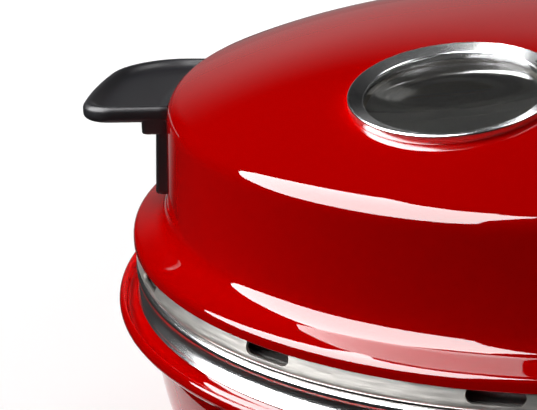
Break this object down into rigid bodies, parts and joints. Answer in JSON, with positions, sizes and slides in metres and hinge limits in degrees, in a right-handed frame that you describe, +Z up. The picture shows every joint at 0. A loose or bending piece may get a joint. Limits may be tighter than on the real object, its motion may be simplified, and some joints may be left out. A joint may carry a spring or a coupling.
{
  "type": "pizza_oven",
  "caption": "Countertop electric pizza oven: round red base and domed red lid with a viewing window, black side grips, a baking stone and a rear hinge",
  "frame": {"origin": "on the table, under the middle of the whole outline", "axes": "+Z up, the front with the window and the controls faces -Y, the hinge is at +Y"},
  "size_m": [0.369, 0.3974, 0.2029],
  "materials": {
    "red_enamel": "gloss red enamel on sheet steel",
    "polished_steel": "mirror-polished steel",
    "brushed_steel": "brushed stainless steel",
    "dull_steel": "plain sheet and fastener metal",
    "element_steel": "heat-darkened sheathed element",
    "window_glass": "clear heat-proof glass",
    "black_plastic": "satin black heat-proof plastic",
    "black_gloss": "gloss black plastic",
    "rubber": "black rubber",
    "gasket": "grey silicone",
    "cordierite": null,
    "ceramic": null,
    "red_lens": "clear red lens",
    "green_lens": "clear green lens"
  },
  "bodies": {
    "base": {"base_bowl": "red_enamel", "rim_ring": "polished_steel", "heat_pan": "dull_steel", "lower_element": "element_steel", "lower_element_clip_1": "dull_steel", "lower_element_clip_2": "dull_steel", "lower_element_clip_3": "dull_steel", "stone_support_1": "dull_steel", "stone_support_2": "dull_steel", "stone_support_3": "dull_steel", "stone_support_4": "dull_steel", "control_pod": "black_plastic", "thermostat_body": "dull_steel", "timer_body": "dull_steel", "power_lamp": "red_lens", "heat_lamp": "green_lens", "bottom_cover": "dull_steel", "foot_1": "rubber", "foot_2": "rubber", "foot_3": "rubber", "foot_4": "rubber", "foot_screw_1": "dull_steel", "foot_screw_2": "dull_steel", "foot_screw_3": "dull_steel", "foot_screw_4": "dull_steel", "cord_gland": "rubber", "terminal_block": "ceramic", "hinge_base_bracket": "black_plastic", "hinge_pin": "brushed_steel", "hinge_base_screw_1": "dull_steel", "hinge_base_screw_2": "dull_steel"},
    "lid": {"lid_shell": "red_enamel", "slotted_band": "brushed_steel", "lid_reflector": "dull_steel", "upper_element": "element_steel", "upper_element_clip_1": "dull_steel", "upper_element_clip_2": "dull_steel", "upper_element_clip_3": "dull_steel", "window_ring": "polished_steel", "window_glass": "window_glass", "window_gasket": "gasket", "window_nut": "dull_steel", "window_funnel": "dull_steel", "left_grip": "black_plastic", "left_grip_screw_1": "dull_steel", "left_grip_screw_2": "dull_steel", "right_grip": "black_plastic", "right_grip_screw_1": "dull_steel", "right_grip_screw_2": "dull_steel", "hinge_lid_bracket": "black_plastic", "hinge_lid_screw_1": "dull_steel", "hinge_lid_screw_2": "dull_steel"},
    "temperature_knob": {"thermostat_knob": "black_gloss", "thermostat_shaft": "brushed_steel"},
    "timer_dial": {"timer_knob": "black_gloss", "timer_shaft": "brushed_steel"},
    "stone": {"pizza_stone": "cordierite"}
  },
  "joints": [
    {"name": "lid_hinge", "type": "hinge", "parent": "base", "child": "lid", "pos_m": [0, 0.19065, 0.112], "axis": [-1, 0, 0], "range_deg": [0, 95]},
    {"name": "temperature_turn", "type": "hinge", "parent": "base", "child": "temperature_knob", "pos_m": [-0.034, -0.17635, 0.05], "axis": [0, -1, 0], "range_deg": [-280, 0]},
    {"name": "timer_turn", "type": "hinge", "parent": "base", "child": "timer_dial", "pos_m": [0.034, -0.17635, 0.05], "axis": [0, -1, 0], "range_deg": [-300, 0]},
    {"name": "stone_lift", "type": "slide", "parent": "base", "child": "stone", "axis": [0, 0, 1], "range_m": [0, 0.012]}
  ]
}
